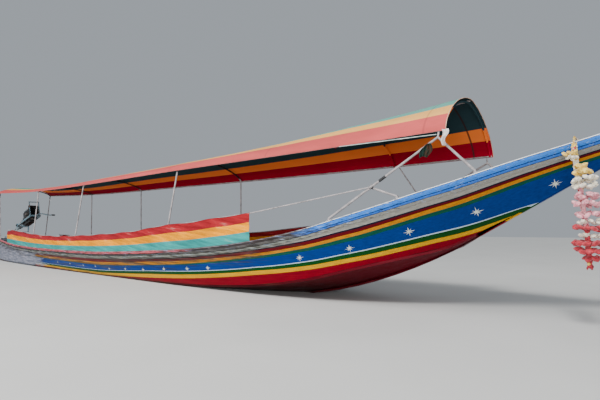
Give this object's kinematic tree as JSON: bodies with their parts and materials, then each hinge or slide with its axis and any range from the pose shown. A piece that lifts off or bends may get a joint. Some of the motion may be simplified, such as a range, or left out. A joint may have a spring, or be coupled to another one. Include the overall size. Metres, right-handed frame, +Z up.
{
  "type": "longtail boat",
  "caption": "Open timber longtail passenger boat with a striped arched canopy, side curtains and a stern engine that swivels and tilts with its long propeller shaft.",
  "frame": {"origin": "on the centreline at the waterline amidships", "axes": "+X to the bow, +Y to port, +Z up"},
  "size_m": [21.9804, 1.938, 3.0436],
  "materials": {
    "hull_paint": "gloss enamel over planks, scuffed",
    "bottom_paint": "enamel over planks",
    "rail_paint": "worn enamel over timber",
    "timber": "varnished timber",
    "cushion_vinyl": "coated cloth",
    "canopy_vinyl": "striped coated cloth, faded",
    "curtain_vinyl": "striped coated cloth, faded",
    "flowers": "artificial flowers",
    "galvanised_pipe": "galvanised and painted pipe",
    "painted_steel": "grey paint, worn",
    "dark_iron": "oily cast iron",
    "bronze": "cast bronze, worn"
  },
  "bodies": {
    "hull": {"side_planking_starboard": "hull_paint", "side_planking_port": "hull_paint", "bottom_planking": "bottom_paint", "keel": "bottom_paint", "stem_post": "hull_paint", "transom": "hull_paint", "gunwale_starboard": "rail_paint", "gunwale_port": "rail_paint", "rib_frames_1": "timber", "rib_frames_2": "timber", "rib_frames_3": "timber", "rib_frames_4": "timber", "rib_frames_5": "timber", "rib_frames_6": "timber", "floor_boards": "timber", "foredeck": "timber", "aft_deck": "timber", "bench_1": "timber", "seat_cushion_1": "cushion_vinyl", "bench_2": "timber", "seat_cushion_2": "cushion_vinyl", "bench_3": "timber", "seat_cushion_3": "cushion_vinyl", "bench_4": "timber", "seat_cushion_4": "cushion_vinyl", "bench_5": "timber", "seat_cushion_5": "cushion_vinyl", "bench_6": "timber", "seat_cushion_6": "cushion_vinyl", "canopy_cover": "canopy_vinyl", "ridge_rail": "galvanised_pipe", "edge_rail_starboard": "galvanised_pipe", "edge_rail_port": "galvanised_pipe", "hoop_1": "galvanised_pipe", "hoop_2": "galvanised_pipe", "hoop_3": "galvanised_pipe", "hoop_4": "galvanised_pipe", "hoop_5": "galvanised_pipe", "hoop_6": "galvanised_pipe", "front_strut_frame_starboard": "galvanised_pipe", "front_strut_frame_port": "galvanised_pipe", "canopy_stay_port": "galvanised_pipe", "side_curtain_starboard": "curtain_vinyl", "curtain_rail_starboard_1": "galvanised_pipe", "curtain_rail_starboard_2": "galvanised_pipe", "curtain_stay_starboard": "galvanised_pipe", "side_curtain_port": "curtain_vinyl", "curtain_rail_port_1": "galvanised_pipe", "curtain_rail_port_2": "galvanised_pipe", "curtain_stay_port": "galvanised_pipe", "engine_pedestal": "dark_iron", "bow_garland": "flowers"},
    "yoke": {"engine_yoke": "painted_steel"},
    "tail": {"engine_cradle": "painted_steel", "engine_block": "dark_iron", "radiator": "dark_iron", "exhaust": "dark_iron", "tiller_bar": "painted_steel", "shaft_tube": "painted_steel"},
    "propeller": {"propeller": "bronze"}
  },
  "joints": [
    {"name": "tail_swivel", "type": "hinge", "parent": "hull", "child": "yoke", "pos_m": [-7.9, 0, 1.12], "axis": [0, 0, 1], "range_deg": [-18, 18]},
    {"name": "tail_tilt", "type": "hinge", "parent": "yoke", "child": "tail", "pos_m": [-7.9, 0, 1.12], "axis": [0, 1, 0], "range_deg": [-3, 12]},
    {"name": "propeller_spin", "type": "hinge", "parent": "tail", "child": "propeller", "pos_m": [-12.65412, 0, -0.2587], "axis": [0.9604, 0, 0.2785], "continuous": true}
  ]
}
